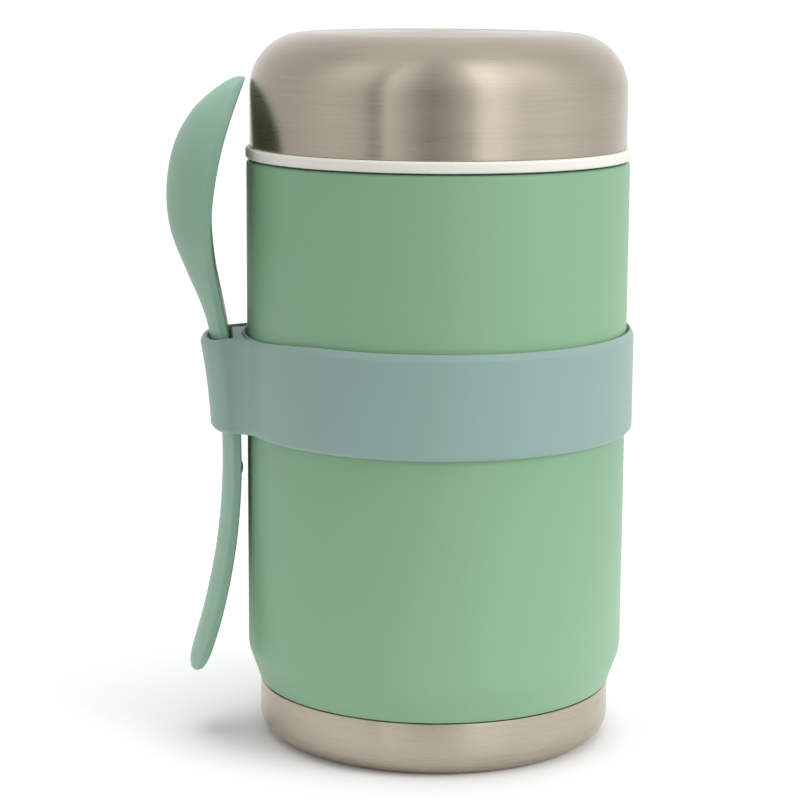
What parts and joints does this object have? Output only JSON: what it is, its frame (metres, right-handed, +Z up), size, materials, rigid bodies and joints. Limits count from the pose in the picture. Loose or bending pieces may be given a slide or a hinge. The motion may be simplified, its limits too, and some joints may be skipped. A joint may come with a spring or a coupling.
{
  "type": "insulated food jar",
  "caption": "Double-walled steel food jar with a screw-on cap, a vented stopper, and a spoon carried in the pocket of a soft band.",
  "frame": {"origin": "on the jar's axis, at the plane the base rests on", "axes": "+Z up along the jar's axis; the spoon and its pocket are on the -X side; the object is symmetric about the XZ plane"},
  "size_m": [0.1104, 0.0934, 0.1678],
  "materials": {
    "green_paint": "satin",
    "brushed_steel": "brushed around the axis",
    "liner_steel": "electropolished",
    "plain_steel": "plain",
    "seal_glass": "glassy",
    "white_plastic": "satin",
    "green_plastic": "satin",
    "band_silicone": "matte",
    "clear_silicone": "matte",
    "foam": "matte"
  },
  "bodies": {
    "jar": {"outer_shell": "green_paint", "inner_liner": "liner_steel", "shell_end_plate": "plain_steel", "getter": "plain_steel", "vacuum_seal": "seal_glass", "base_cup": "brushed_steel"},
    "stopper_rise": {"stopper_gasket": "clear_silicone"},
    "stopper_lift": {"stopper_core": "foam"},
    "stopper": {"stopper_body": "white_plastic", "stopper_cover": "white_plastic", "vent_return_dome": "clear_silicone"},
    "vent": {"vent_button": "green_plastic", "vent_stem": "white_plastic", "vent_seal": "clear_silicone"},
    "cap_rise": {"cap_gasket": "clear_silicone"},
    "cap_lift": {"cap_insulation": "foam"},
    "cap": {"cap_shell": "brushed_steel", "cap_liner": "white_plastic"},
    "band": {"band": "band_silicone"},
    "spoon": {"spoon": "green_plastic"}
  },
  "joints": [
    {"name": "stopper_screw", "type": "slide", "parent": "jar", "child": "stopper_rise", "axis": [0, 0, 1], "range_m": [0, 0.004]},
    {"name": "stopper_lift_off", "type": "slide", "parent": "stopper_rise", "child": "stopper_lift", "axis": [0, 0, 1], "range_m": [0, 0.06]},
    {"name": "stopper_turn", "type": "hinge", "parent": "stopper_lift", "child": "stopper", "pos_m": [0, 0, 0.15], "axis": [0, 0, 1], "range_deg": [0, 360]},
    {"name": "vent_press", "type": "slide", "parent": "stopper", "child": "vent", "axis": [0, 0, -1], "range_m": [0, 0.0018], "stiffness_N_per_m": 400, "springref_m": -0.001, "deforming": ["vent_return_dome"]},
    {"name": "cap_screw", "type": "slide", "parent": "stopper", "child": "cap_rise", "axis": [0, 0, 1], "range_m": [0, 0.006]},
    {"name": "cap_lift_off", "type": "slide", "parent": "cap_rise", "child": "cap_lift", "axis": [0, 0, 1], "range_m": [0, 0.045]},
    {"name": "cap_turn", "type": "hinge", "parent": "cap_lift", "child": "cap", "pos_m": [0, 0, 0.15], "axis": [0, 0, 1], "range_deg": [0, 540]},
    {"name": "band_slide", "type": "slide", "parent": "jar", "child": "band", "axis": [0, 0, 1], "range_m": [-0.05, 0.036]},
    {"name": "spoon_draw", "type": "hinge", "parent": "band", "child": "spoon", "pos_m": [-0.1998, 0, 0.06805], "axis": [0, -1, 0], "range_deg": [0, 36]}
  ],
  "couplings": [
    {"joint": "stopper_screw", "follows": "stopper_turn", "m_per_rad": 0.00063662},
    {"joint": "cap_screw", "follows": "cap_turn", "m_per_rad": 0.00063662}
  ]
}
